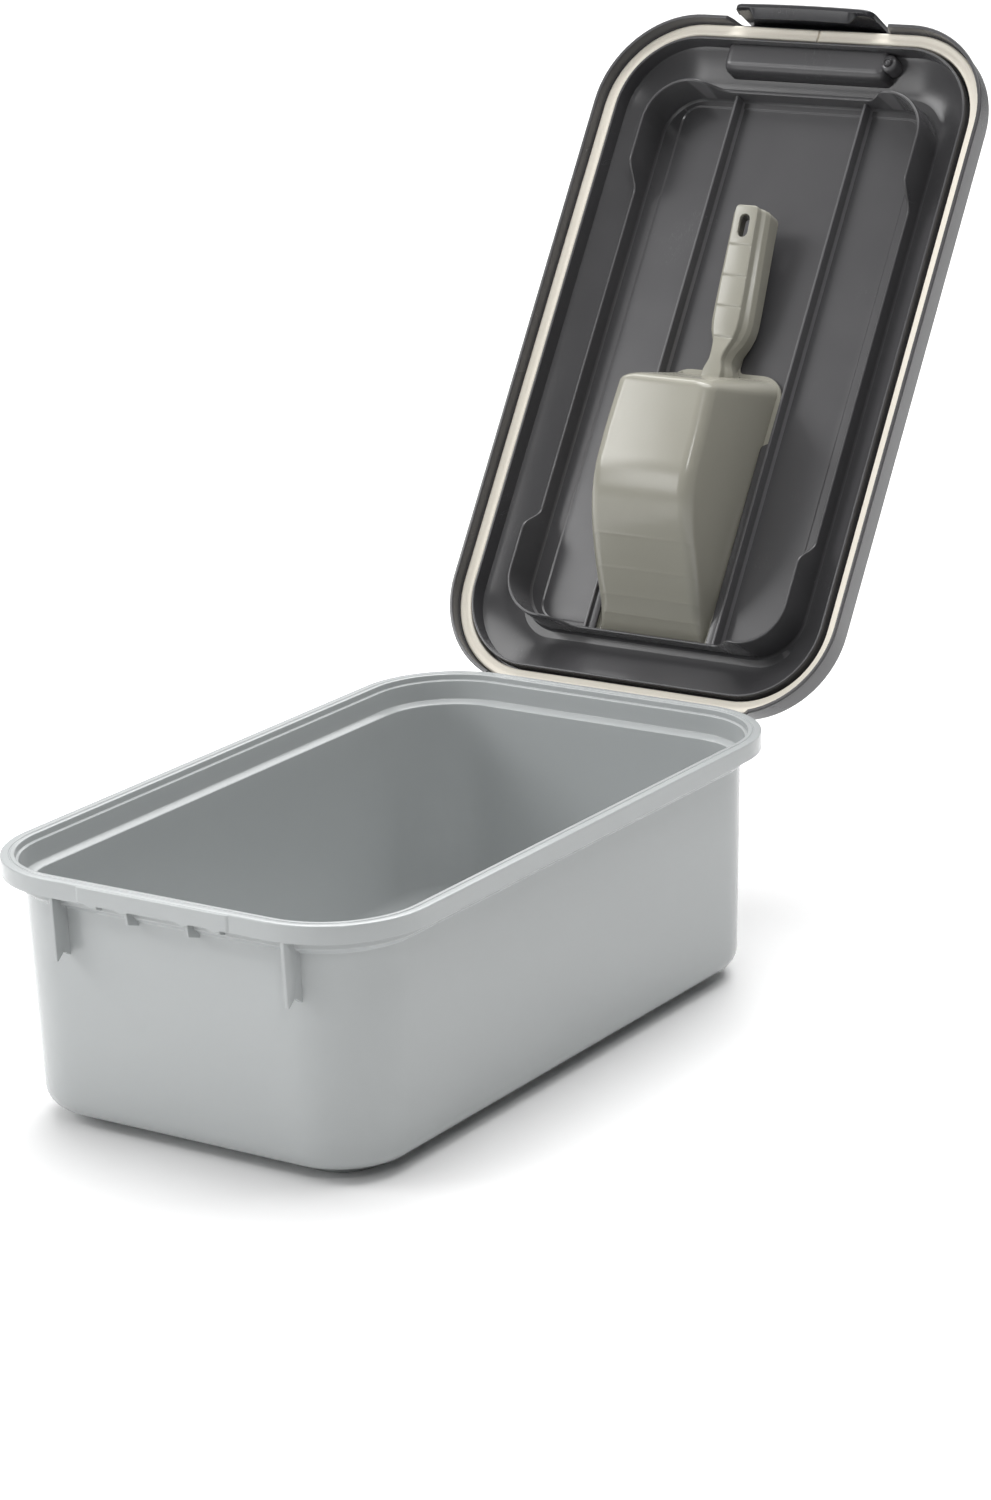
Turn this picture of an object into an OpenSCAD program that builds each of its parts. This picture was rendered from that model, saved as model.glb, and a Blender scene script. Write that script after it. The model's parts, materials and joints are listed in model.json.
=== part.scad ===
// Stackable pet food bin: an open tub, a hinged lid standing open, a snap latch on the
// lid's free end, a rubber lid seal and a scoop that is kept in rails inside the lid.
// Origin: centre of the foot ring's underside. The latch end faces -Y, the hinge end +Y.
// The lid and everything on it is drawn closed, then swung open about the hinge axis.

/* [Tub] */
// Width over the rim
rim_w = 260; // [220:1:300]
// Length over the rim
rim_l = 430; // [390:1:480]
// Height from the foot to the rim
tub_h = 146; // [120:1:200]
// Corner radius of the rim
rim_r = 58; // [56:1:64]
// Wall thickness of the tub
tub_t = 2.4; // [2:0.1:3]

/* [Lid] */
// How far the lid stands open, measured from closed
open_angle = 123; // [0:1:123]
// Height of the lid's skirt
skirt_h = 17; // [16:0.5:20]
// Rise of the stacking panel above the lid's flat rim
panel_rise = 12; // [8:1:16]
// Wall thickness of the lid
lid_t = 2.5; // [2:0.1:3]

/* [Latch] */
// Width of the latch
latch_w = 95; // [70:1:98]
// Radius of the latch's pivot pin
pin_r = 2; // [1.5:0.1:2.2]

/* [Scoop] */
// Outside width of the scoop's bowl
bowl_w = 76; // [64:1:76]
// Depth of the bowl at the handle end
bowl_depth = 69; // [50:1:72]
// Wall thickness of the scoop
scoop_t = 2; // [1.6:0.1:2.4]
// Length of the handle from the bowl
grip_l = 97; // [85:1:100]
// Width of the handle
grip_w = 28; // [24:1:32]

/* [Hidden] */
$fn = 64;

// Running clearance on the radius of every pivot, and the gap between sliding or resting faces
pivot_gap = 0.06;
face_gap = 0.3;

// Every rounded rectangle of the tub and lid shares the same four corner centres
core_w = rim_w - 2*rim_r;
core_l = rim_l - 2*rim_r;

// Tub wall, as distances from the corner centre
band_h = 10;
wall_top = rim_r - 12.3;
wall_low = wall_top - 4;
foot_h = 6;
base_r = 14;
ledge_z = tub_h - 14.5;

// Foot ring
foot_w = rim_w - 72;
foot_l = rim_l - 72;
foot_r = 22;
foot_t = 3;

// Fins and catch gussets under the rim at the latch end
fin_xs = [-67, 81];
fin_t = 2.4;
fin_d = 15;
fin_low = tub_h - 46;
fin_notch = 4.5;
gusset_t = 1.8;
gusset_d = 13;
gusset_outer = 39.5;
gusset_inner = 19.5;

// Lid, closed: heights are above the skirt's bottom edge
lid_z = tub_h - 7.6;
lid_r = rim_r + 2.6;
flat_r = rim_r - 8.6;
panel_r = rim_r - 34;
seal_w = 7.6;
seal_r = rim_r - 7.9;
seal_z = tub_h - lid_z + face_gap;
under_z = skirt_h + panel_rise - lid_t;

// Frame wall and ribs under the stacking panel
ring_w = 192;
ring_l = 350;
ring_r = 28;
ring_low = 15;
low_long = 106;
low_short = 50;
ramp_l = 14;
rib_x = 44.5;
rib_t = 2;
rib_h = 8;

// Hinge at the rear: round bars on the tub, clips on the lid
hinge_y = rim_l/2 + 5;
hinge_z = tub_h - 8.5;
hinge_x = 70;
bar_r = 2.4;
clip_l = 26;
clip_t = 2;
cheek_t = 3;
cheek_back = 18;
cheek_low = 34;
stop_reach = 12;
notch_w = clip_l + 2*cheek_t + 3;
notch_h = 4.6;

// Latch and its pocket in the lid
latch_y = -(rim_l/2 - 19);
latch_z = tub_h + 10;
latch_t = 2.6;
latch_front = -(rim_l/2 + 7);
latch_low = tub_h - 17;
knuckle_r = 4;
pocket_w = latch_w + 5;
pocket_front = latch_y - 8;
pocket_back = latch_y + 6;
pocket_floor = latch_z - knuckle_r - 1;
pocket_h = 18;
pocket_t = 2.4;
pin_seat = 1.6;
catch_w = 98;
latch_notch_w = latch_w + 16;

// Scoop, closed: its mouth lies against the panel's underside
mouth_z = lid_z + under_z - face_gap;
bowl_l = 168.7;
bowl_r = 14;
bowl_taper = 4;
bowl_edge = 9;
heel_lean = 27;
bend_rise = 3;
tip_y = ring_l/2 - rib_t - face_gap;
heel_y = tip_y - bowl_l;
bend_y = heel_y + 99;
flange_w = 2*rib_x - rib_t - 5;
flange_t = 2.4;
grip_face = 18.5;
grip_open = 1.8;
grip_rise = 14.5;
grip_open_rise = 11.6;
neck_l = 16;
rail_len = 126;
web_step = 18.4;
web_t = 1.6;
slot_w = 6;
slot_l = 12;

// ---------------------------------------------------------------- helpers

// Carries a wall profile (x = distance from the corner centre, y = height) round a
// rounded rectangle whose corner centres span w by l
module around(w, l) {
    for (side = [0, 1]) {
        mirror([side, 0, 0]) translate([w/2, 0, 0]) rotate([90, 0, 0])
            linear_extrude(l, center = true) children();
        mirror([0, side, 0]) translate([0, l/2, 0]) rotate([90, 0, 90])
            linear_extrude(w, center = true) children();
    }
    for (quarter = [0:3]) {
        sx = (quarter == 0 || quarter == 3) ? 1 : -1;
        sy = quarter < 2 ? 1 : -1;
        translate([sx*w/2, sy*l/2, 0]) rotate(90*quarter) rotate_extrude(angle = 90) children();
    }
}

// Flat rounded rectangle, w by l, with corners of radius r
module round_rect(w, l, r) {
    square([w - 2*r, l], center = true);
    square([w, l - 2*r], center = true);
    for (sx = [-1, 1], sy = [-1, 1])
        translate([sx*(w/2 - r), sy*(l/2 - r)]) circle(r);
}

// A plate of thickness t across x, drawn as its outline in y and z
module plate_x(x, t) {
    translate([x - t/2, 0, 0]) rotate([90, 0, 90]) linear_extrude(t) children();
}

// A round bar along x
module bar_x(x0, x1, r) {
    translate([x0, 0, 0]) rotate([0, 90, 0]) cylinder(r = r, h = x1 - x0);
}

// Swings what is drawn for a closed lid open about the hinge axis
module on_lid() {
    translate([0, hinge_y, hinge_z]) rotate([-open_angle, 0, 0])
        translate([0, -hinge_y, -hinge_z]) children();
}

// ---------------------------------------------------------------- tub

// Solid half-section of the body up to the rim, inset from the outside by t
module body_section(t) {
    polygon([[0, foot_h + t], [wall_low - base_r, foot_h + t], [wall_low - t, foot_h + base_r],
        [wall_top - t, tub_h - band_h], [0, tub_h - band_h]]);
    translate([wall_low - base_r, foot_h + base_r]) circle(base_r - t);
}

// Wall and floor, up to the ledge inside the rim
module wall_section() {
    difference() {
        body_section(0);
        body_section(tub_t);
        translate([0, ledge_z - 4]) square([rim_r, tub_h]);
    }
}

// Rim: outer band, flat top, step wall and the sloped ledge inside it
module rim_section() {
    polygon([
        [rim_r, tub_h - band_h], [rim_r, tub_h - 0.8], [rim_r - 0.8, tub_h],
        [rim_r - 7.4, tub_h], [rim_r - 8, tub_h - 0.6], [rim_r - 8, tub_h - 3.4],
        [rim_r - 9.4, tub_h - 3.4], [rim_r - 9.8, tub_h - 3.8], [rim_r - 10.3, ledge_z],
        [wall_top - tub_t, ledge_z - 2], [wall_top - tub_t - 0.13, ledge_z - 4],
        [wall_top - 0.13, ledge_z - 4], [wall_top, ledge_z - 3.6], [rim_r - 8, ledge_z - 0.6],
        [rim_r - 7.6, tub_h - 2.4], [rim_r - 2.2, tub_h - 2.4], [rim_r - 2.2, tub_h - band_h]]);
}

// Upright fin under the rim at the latch end, notched at its foot
module fin(x) {
    front = -rim_l/2;
    top = tub_h - band_h + 1;
    plate_x(x, fin_t) polygon([
        [front + 0.8, top], [front + 2.2, fin_low], [front + fin_d/2, fin_low + fin_notch],
        [front + fin_d, fin_low], [front + fin_d, top]]);
}

// Gusset under the catch that the latch hooks onto
module gusset(x, drop) {
    front = -rim_l/2;
    top = tub_h - band_h + 1;
    plate_x(x, gusset_t) polygon([
        [front + 3.5, top], [front + 5, top - 1 - drop],
        [front + gusset_d, top - 4 - drop], [front + gusset_d, top]]);
}

// One hinge bracket: two cheeks that carry a round bar, with a sloped stop behind it
module hinge_bracket(x) {
    for (side = [-1, 1])
        plate_x(x + side*(clip_l/2 + face_gap + cheek_t/2), cheek_t) polygon([
            [hinge_y - 7, hinge_z + 3.5], [hinge_y + 1, hinge_z + 3.5], [hinge_y + 3, hinge_z + 2],
            [hinge_y + 4.6, hinge_z - 1.6], [hinge_y + stop_reach, hinge_z - 5.9],
            [hinge_y + stop_reach, hinge_z - 9], [hinge_y - 6, hinge_z - 26],
            [hinge_y - cheek_back, hinge_z - cheek_low], [hinge_y - cheek_back, hinge_z - 9],
            [hinge_y - 7, hinge_z - 6]]);
    translate([0, hinge_y, hinge_z])
        bar_x(x - clip_l/2 - cheek_t, x + clip_l/2 + cheek_t, bar_r);
}

module tub() {
    color("#c3c8cb") {
        around(core_w, core_l) {
            wall_section();
            rim_section();
        }
        translate([0, 0, foot_h + tub_t/2]) cube([core_w, core_l, tub_t], center = true);
        around(foot_w - 2*foot_r, foot_l - 2*foot_r)
            polygon([[foot_r - foot_t, 0], [foot_r - 0.5, 0], [foot_r, 0.5],
                [foot_r, foot_h + 1], [foot_r - foot_t, foot_h + 1]]);
        translate([0, -rim_l/2 + 0.6, tub_h - band_h/2])
            cube([catch_w, 2.8, band_h], center = true);
        for (x = fin_xs) fin(x);
        for (side = [-1, 1]) {
            gusset(side*gusset_outer, 2);
            gusset(side*gusset_inner, 8);
            hinge_bracket(side*hinge_x);
        }
    }
}

// ---------------------------------------------------------------- lid

// Height of the panel's slope above the flat rim; t runs from the rim (0) to the panel (1)
function slope_rise(t) = panel_rise*(1 - pow(1 - t, 1.35));
SLOPE = [for (i = [0:8]) [flat_r + (panel_r - flat_r)*i/8, skirt_h + slope_rise(i/8)]];
UNDER_SLOPE = [for (i = [8:-1:0]) [SLOPE[i][0], SLOPE[i][1] - lid_t]];

// Skirt, flat rim, slope and panel edge, with the low wall that stands inside the seal
module lid_shell() {
    polygon(concat(
        [[lid_r, 0], [lid_r, 1.4], [lid_r - 0.7, 2.2], [lid_r - 1.2, skirt_h - 1],
            [lid_r - 2.2, skirt_h]],
        SLOPE, [[0, skirt_h + panel_rise], [0, under_z]], UNDER_SLOPE,
        [[lid_r - 2.6, skirt_h - lid_t], [lid_r - 2.6, 8.4], [lid_r - 2.2, 8.4],
            [lid_r - 2.2, 0]]));
    translate([rim_r - 11.4, 5]) square([1.6, skirt_h - lid_t - 4]);
}

// What is cut from the middle of one side of the frame wall, half wide at its top
module side_cut(half) {
    polygon([[-half, ring_low], [half, ring_low], [half + ramp_l, -1], [-half - ramp_l, -1]]);
}

// Thin wall standing on the panel's underside, taller at its four corners
module frame_wall() {
    difference() {
        linear_extrude(under_z + 1) difference() {
            round_rect(ring_w, ring_l, ring_r);
            round_rect(ring_w - 2*rib_t, ring_l - 2*rib_t, ring_r - rib_t);
        }
        // Long sides and short sides are cut back between the corners, with ramps
        plate_x(0, ring_w + 10) side_cut(low_long);
        rotate(90) plate_x(0, ring_l + 10) side_cut(low_short);
    }
}

// Two full-length ribs; towards the hinge end each carries a lip that holds the scoop
module ribs() {
    for (side = [-1, 1]) {
        translate([side*rib_x - rib_t/2, -ring_l/2 + 1, under_z - rib_h])
            cube([rib_t, ring_l - 2, rib_h + 1]);
        translate([side > 0 ? rib_x - 6 : -rib_x, tip_y + 1 - rail_len, under_z - 6])
            cube([6, rail_len, 2]);
    }
}

// Clip that snaps over a hinge bar, with its arm up to the skirt
module hinge_clip(x) {
    y = hinge_y;
    z = hinge_z - lid_z;
    difference() {
        union() {
            translate([0, y, z]) bar_x(x - clip_l/2, x + clip_l/2, bar_r + clip_t);
            translate([x - clip_l/2, y - 4.4, z + 1]) cube([clip_l, 5, skirt_h - 6]);
        }
        translate([0, y, z]) bar_x(x - clip_l, x + clip_l, bar_r + pivot_gap);
        translate([x - clip_l, y + 0.4, z - 6]) rotate([20, 0, 0]) cube([2*clip_l, 3.6, 6]);
    }
}

// Trough in the lid's front that houses the latch's knuckle and carries its pin
module pocket_block(grow) {
    translate([-pocket_w/2 - grow, pocket_front - grow, pocket_floor - lid_z - grow])
        cube([pocket_w + 2*grow, pocket_back - pocket_front + 2*grow, pocket_h + grow]);
}

module lid() {
    color("#5c5b5e") on_lid() translate([0, 0, lid_z]) difference() {
        union() {
            difference() {
                union() {
                    around(core_w, core_l) lid_shell();
                    translate([0, 0, under_z + lid_t/2]) cube([core_w, core_l, lid_t], center = true);
                    intersection() {
                        pocket_block(pocket_t);
                        lid_envelope();
                    }
                }
                // Skirt is cut away behind the latch and over the hinge brackets
                translate([0, -lid_l()/2, skirt_h/2 - lid_t])
                    cube([latch_notch_w, 8.4, skirt_h], center = true);
                for (side = [-1, 1])
                    translate([side*hinge_x - notch_w/2, lid_l()/2 - 4, -1])
                        cube([notch_w, 8, notch_h + 1]);
            }
            frame_wall();
            ribs();
            for (side = [-1, 1]) hinge_clip(side*hinge_x);
        }
        pocket_block(0);
        translate([0, latch_y, latch_z - lid_z])
            bar_x(-pocket_w/2 - pin_seat, pocket_w/2 + pin_seat, pin_r);
    }
}

// Length of the lid over its skirt
function lid_l() = core_l + 2*lid_r;

// Everything under the lid's outer surface, used to trim the latch pocket
module lid_envelope() {
    module under_skin() {
        polygon(concat([[0, 0], [lid_r - 2.2, 0], [lid_r - 2.2, skirt_h]], SLOPE,
            [[0, skirt_h + panel_rise]]));
    }
    around(core_w, core_l) under_skin();
    translate([0, 0, (skirt_h + panel_rise)/2])
        cube([core_w, core_l, skirt_h + panel_rise], center = true);
}

module lid_seal() {
    color("#f2ede0") on_lid() translate([0, 0, lid_z])
        around(core_w, core_l)
            polygon([[seal_r, seal_z + 0.8], [seal_r + 0.8, seal_z], [seal_r + seal_w - 0.8, seal_z],
                [seal_r + seal_w, seal_z + 0.8], [seal_r + seal_w, skirt_h - lid_t],
                [seal_r, skirt_h - lid_t]]);
}

// ---------------------------------------------------------------- latch

// Side view of the latch: top plate, rounded shoulder, front plate and hook
module latch_section() {
    plate_z = latch_z + 1.2;
    shoulder = 5;
    translate([latch_front + shoulder, plate_z]) square([latch_y - latch_front - shoulder, latch_t]);
    translate([latch_front, latch_low]) square([latch_t, plate_z + latch_t - latch_low - shoulder]);
    intersection() {
        translate([latch_front + shoulder, plate_z + latch_t - shoulder]) difference() {
            circle(shoulder);
            circle(shoulder - latch_t);
        }
        translate([latch_front, plate_z + latch_t - shoulder]) square(shoulder);
    }
    polygon([[latch_front + 1, latch_low + 1], [latch_front + 4, latch_low + 0.4],
        [latch_front + 8.6, latch_low + 3.8], [latch_front + 8.2, latch_low + 4.8],
        [latch_front + 1, latch_low + 4.6]]);
}

module latch() {
    color("#26272b") on_lid() difference() {
        union() {
            plate_x(0, latch_w) latch_section();
            translate([0, latch_y, latch_z]) bar_x(-latch_w/2, latch_w/2, knuckle_r);
        }
        translate([0, latch_y, latch_z]) bar_x(-latch_w, latch_w, pin_r + pivot_gap);
        // Lower corners of the front plate are rounded
        for (side = [-1, 1]) mirror([side < 0 ? 1 : 0, 0, 0])
            translate([latch_w/2 - 5, latch_front - 1, latch_low + 5]) rotate([-90, 0, 0])
                linear_extrude(12) difference() {
                    square(6);
                    circle(5);
                }
    }
}

module latch_pin() {
    color("#303136") on_lid() translate([0, latch_y, latch_z])
        bar_x(-pocket_w/2 - pin_seat, pocket_w/2 + pin_seat, pin_r);
}

// ---------------------------------------------------------------- scoop

// Side view of the bowl: leaning heel, flat back, then a straight slope to the open tip
module bowl_side(t) {
    back_z = mouth_z - bowl_depth + t;
    polygon([
        [heel_y + t, mouth_z + 1],
        [heel_y + heel_lean*(1 - bowl_edge/bowl_depth) + t, back_z + bowl_edge - t],
        [heel_y + heel_lean + bowl_edge - 2, back_z],
        [bend_y, back_z + bend_rise],
        [tip_y + 2*t, mouth_z - 3 + t],
        [tip_y + 2*t, mouth_z + 1]]);
}

// View along the bowl: sides that lean in towards a round-edged back
module bowl_front(t) {
    back_z = mouth_z - bowl_depth + t;
    edge_x = bowl_w/2 - bowl_taper - bowl_edge;
    polygon([
        [-bowl_w/2 + t, mouth_z + 1], [-edge_x - bowl_edge + t, back_z + bowl_edge - t],
        [-edge_x, back_z], [edge_x, back_z],
        [edge_x + bowl_edge - t, back_z + bowl_edge - t], [bowl_w/2 - t, mouth_z + 1]]);
    for (side = [-1, 1]) translate([side*edge_x, back_z + bowl_edge - t]) circle(bowl_edge - t);
}

// Bowl as a solid: its side, end and plan views crossed, t inside the outer surface
module bowl_solid(t) {
    intersection() {
        plate_x(0, bowl_w) bowl_side(t);
        translate([0, tip_y + 20, 0]) rotate([90, 0, 0]) linear_extrude(bowl_l + 40) bowl_front(t);
        translate([0, (heel_y + tip_y + 40)/2, mouth_z - 80]) linear_extrude(90)
            round_rect(bowl_w - 2*t, bowl_l + 40 - 2*t, bowl_r - t);
    }
}

// Flat flange round the mouth that rides in the lid's rails
module bowl_flange() {
    translate([0, heel_y + bowl_l/2, mouth_z - flange_t]) linear_extrude(flange_t) difference() {
        union() {
            round_rect(flange_w, bowl_l, bowl_r);
            translate([0, bowl_l/4]) square([flange_w, bowl_l/2], center = true);
        }
        translate([0, scoop_t + 20]) round_rect(bowl_w - 2*scoop_t, bowl_l + 40, bowl_r - scoop_t);
    }
}

// Plan of the handle: pinched at the neck, slightly narrower towards its rounded end
module grip_plan(t) {
    end_y = heel_y - grip_l + t;
    w = grip_w/2 - t;
    pinch = 7;
    corner = 5;
    polygon([
        [-w, heel_y + 12], [-w + pinch, heel_y - 2], [-w + pinch, heel_y - 6],
        [-w, heel_y - neck_l - 8], [-w + 2, end_y + corner], [-w + corner, end_y],
        [w - corner, end_y], [w - 2, end_y + corner], [w, heel_y - neck_l - 8],
        [w - pinch, heel_y - 6], [w - pinch, heel_y - 2], [w, heel_y + 12]]);
}

// Side view of the handle, from its outer face up to its open side
module grip_side(t) {
    end_y = heel_y - grip_l - 1;
    neck_y = heel_y - neck_l;
    polygon([
        [heel_y + 7, mouth_z - grip_face + t], [neck_y, mouth_z - grip_face + t],
        [end_y, mouth_z - grip_face - grip_rise + t], [end_y, mouth_z - grip_open - grip_open_rise],
        [neck_y, mouth_z - grip_open], [heel_y + 1, mouth_z - grip_open]]);
}

// Handle: an open channel with cross ribs and a hanging slot, rising away from the mouth
module grip() {
    slot_y = heel_y - grip_l + slot_l - 1;
    web_y = heel_y - neck_l + 17;
    difference() {
        intersection() {
            plate_x(0, grip_w) grip_side(0);
            translate([0, 0, mouth_z - 60]) linear_extrude(62) grip_plan(0);
        }
        difference() {
            intersection() {
                plate_x(0, grip_w) translate([0, scoop_t]) grip_channel();
                translate([0, 0, mouth_z - 60]) linear_extrude(70) grip_plan(scoop_t);
            }
            for (i = [1:4])
                translate([0, web_y - i*web_step, mouth_z - 30])
                    cube([grip_w, web_t, 62], center = true);
        }
        translate([0, slot_y, mouth_z - 60]) linear_extrude(62)
            round_rect(slot_w, slot_l, slot_w/2 - 0.1);
    }
}

// Side view of the room inside the handle's channel, before its floor's thickness is added
module grip_channel() {
    end_y = heel_y - grip_l - 1;
    neck_y = heel_y - neck_l;
    polygon([
        [heel_y - 4, mouth_z - grip_face], [neck_y, mouth_z - grip_face],
        [end_y, mouth_z - grip_face - grip_rise], [end_y, mouth_z + 5], [heel_y - 4, mouth_z + 5]]);
}

module scoop() {
    color("#a49f94") on_lid() difference() {
        union() {
            bowl_solid(0);
            bowl_flange();
            grip();
        }
        bowl_solid(scoop_t);
        translate([0, 0, mouth_z + 10]) cube([rim_w, 2*rim_l, 20], center = true);
    }
}

tub();
lid();
lid_seal();
latch();
latch_pin();
scoop();
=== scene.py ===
import json
import math

import bmesh
import bpy
from mathutils import Matrix, Vector


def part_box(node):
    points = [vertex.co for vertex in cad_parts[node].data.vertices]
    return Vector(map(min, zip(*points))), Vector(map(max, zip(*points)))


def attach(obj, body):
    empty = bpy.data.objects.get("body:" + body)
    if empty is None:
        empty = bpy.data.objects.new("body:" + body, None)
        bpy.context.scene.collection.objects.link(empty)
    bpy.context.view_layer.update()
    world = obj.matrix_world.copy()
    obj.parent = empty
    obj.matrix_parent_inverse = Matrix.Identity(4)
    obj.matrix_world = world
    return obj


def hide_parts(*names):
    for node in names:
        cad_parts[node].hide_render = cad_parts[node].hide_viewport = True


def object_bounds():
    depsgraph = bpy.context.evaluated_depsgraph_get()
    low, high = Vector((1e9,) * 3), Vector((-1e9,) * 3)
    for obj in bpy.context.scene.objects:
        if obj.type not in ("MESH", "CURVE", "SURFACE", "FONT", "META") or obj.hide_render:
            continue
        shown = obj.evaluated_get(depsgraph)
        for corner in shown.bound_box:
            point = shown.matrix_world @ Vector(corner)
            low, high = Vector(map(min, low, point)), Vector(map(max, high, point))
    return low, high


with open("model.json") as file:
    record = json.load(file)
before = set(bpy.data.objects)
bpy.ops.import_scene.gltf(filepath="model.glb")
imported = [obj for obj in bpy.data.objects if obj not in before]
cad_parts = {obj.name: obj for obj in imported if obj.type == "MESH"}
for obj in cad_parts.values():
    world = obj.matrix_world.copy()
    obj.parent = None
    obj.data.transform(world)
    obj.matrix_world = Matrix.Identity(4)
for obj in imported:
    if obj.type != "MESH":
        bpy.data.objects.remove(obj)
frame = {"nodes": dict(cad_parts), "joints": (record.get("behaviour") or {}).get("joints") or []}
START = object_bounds()
MM = 0.001
SCENE = bpy.context.scene


# ------------------------------------------------------------------ sizes in mm
def box_mm(node):
    """Lowest and highest corner of a CAD node, in millimetres."""
    low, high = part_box(node)
    return low / MM, high / MM


def joint(name):
    """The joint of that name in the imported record."""
    return next(j for j in frame["joints"] if j["name"] == name)


# Tub: outer size from the frame, and the straight core that its round corners stand on
TUB_LOW, TUB_HIGH = box_mm("tub")
CATCH_PROUD = 0.8
CATCH_HALF = 49
RIM_W = 2 * TUB_HIGH.x
RIM_L = -2 * (TUB_LOW.y + CATCH_PROUD)
RIM_R = 58.0
TUB_H = TUB_HIGH.z
CORE_W = RIM_W - 2 * RIM_R
CORE_L = RIM_L - 2 * RIM_R
FRONT = -RIM_L / 2
FOOT_INSET = 36.0
FOOT_R = 22.0
FIN_XS = (-67, 81)
OUTER_GUSSET = 39.5
INNER_GUSSET = 19.5

# Hinge
HINGE = Vector(joint("lid_hinge")["pos_m"]) / MM
HINGE_X = 70
BAR_R = 2.4
OPEN = math.radians(123)

# Lid, closed: heights are above the skirt's lower edge
LID_Z = TUB_H - 7.6
LID_R = RIM_R + 2.6
LID_T = 2.5
SKIRT_H = 17.0
PANEL_RISE = 12.0
PANEL_TOP = SKIRT_H + PANEL_RISE
UNDER = PANEL_TOP - LID_T
FLAT_R = RIM_R - 8.6
PANEL_R = RIM_R - 34
RING_W, RING_L, RING_R = 192.0, 350.0, 28.0
RIB_X, RIB_H = 44.5, 8.0

# Latch
LATCH_Y = FRONT + 19
LATCH_D = TUB_H + 10 - LID_Z
LATCH_FRONT = FRONT - 7
LATCH_LOW = TUB_H - 17 - LID_Z
LATCH_HALF = 47.5

# Scoop: its bowl runs from the heel to the tip
MOUTH = UNDER - 0.3
BOWL_L = 168.1
HEEL_GAP = 0.6
TIP_Y = RING_L / 2 - 2.3
HEEL_Y = TIP_Y - BOWL_L - HEEL_GAP

# Takes a point of the closed lid, with heights above its skirt, to its place on the open lid
OPENED = (
    Matrix.Translation(HINGE * MM)
    @ Matrix.Rotation(-OPEN, 4, "X")
    @ Matrix.Translation(-HINGE * MM)
    @ Matrix.Translation((0, 0, LID_Z * MM))
)


# ------------------------------------------------------------------ shape helpers
def smooth(t):
    """Smooth step from 0 to 1."""
    t = min(1.0, max(0.0, t))
    return t * t * (3 - 2 * t)


def rounded(points, steps=5, closed=True):
    """Outline through (x, y) or (x, y, radius) corners, each radius drawn as a tangent arc."""
    out = []
    count = len(points)
    for i, point in enumerate(points):
        corner = Vector(point[:2])
        radius = point[2] if len(point) > 2 else 0
        if radius <= 0 or (not closed and i in (0, count - 1)):
            out.append(tuple(corner))
            continue
        back = Vector(points[i - 1][:2]) - corner
        ahead = Vector(points[(i + 1) % count][:2]) - corner
        reach = 0.49 * min(back.length, ahead.length)
        back.normalize()
        ahead.normalize()
        half = 0.5 * back.angle(ahead)
        if half > 0.499 * math.pi:
            out.extend([tuple(corner)] * (steps + 1))
            continue
        tangent = min(reach, radius / math.tan(half))
        radius = tangent * math.tan(half)
        centre = corner + (back + ahead).normalized() * (radius / math.sin(half))
        first = corner + back * tangent - centre
        last = corner + ahead * tangent - centre
        turn = first.angle(last)
        for k in range(steps + 1):
            share = k / steps
            a = math.sin((1 - share) * turn) / math.sin(turn)
            b = math.sin(share * turn) / math.sin(turn)
            out.append(tuple(centre + first * a + last * b))
    return out


def divided(outline, longest):
    """The same open outline with long runs cut into pieces."""
    out = [outline[0]]
    for a, b in zip(outline, outline[1:]):
        pieces = max(1, math.ceil(math.dist(a, b) / longest))
        for k in range(1, pieces + 1):
            out.append((a[0] + (b[0] - a[0]) * k / pieces, a[1] + (b[1] - a[1]) * k / pieces))
    return out


def circle(x, y, radius, count):
    """Points evenly round a circle."""
    turns = [2 * math.pi * i / count for i in range(count)]
    return [(x + radius * math.cos(turn), y + radius * math.sin(turn)) for turn in turns]


def stations(width, length, step, corner_steps=16):
    """(corner centre x, y, outward x, y) at each stop round a rounded rectangle."""
    signs = [(1, -1), (1, 1), (-1, 1), (-1, -1)]
    ring = []
    for quarter, (sx, sy) in enumerate(signs):
        start = -90 + 90 * quarter
        here = Vector((sx * width / 2, sy * length / 2))
        for i in range(corner_steps + 1):
            angle = math.radians(start + 90 * i / corner_steps)
            ring.append((here.x, here.y, math.cos(angle), math.sin(angle)))
        nx, ny = signs[(quarter + 1) % 4]
        there = Vector((nx * width / 2, ny * length / 2))
        count = max(1, round((there - here).length / step))
        outward = math.radians(start + 90)
        for i in range(1, count):
            spot = here.lerp(there, i / count)
            ring.append((spot.x, spot.y, math.cos(outward), math.sin(outward)))
    return ring


def around(ring, profile):
    """Loops made by carrying profile(station), a list of (distance, height), round the ring."""
    rows = [profile(*stop) for stop in ring]
    return [
        [(s[0] + s[2] * row[k][0], s[1] + s[3] * row[k][0], row[k][1]) for s, row in zip(ring, rows)]
        for k in range(len(rows[0]))
    ]


def shade(mesh_bm, angle):
    """Smooth faces, with edges sharper than the angle kept crisp."""
    for face in mesh_bm.faces:
        face.smooth = True
    for edge in mesh_bm.edges:
        edge.smooth = len(edge.link_faces) != 2 or edge.calc_face_angle(0) < math.radians(angle)


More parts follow.
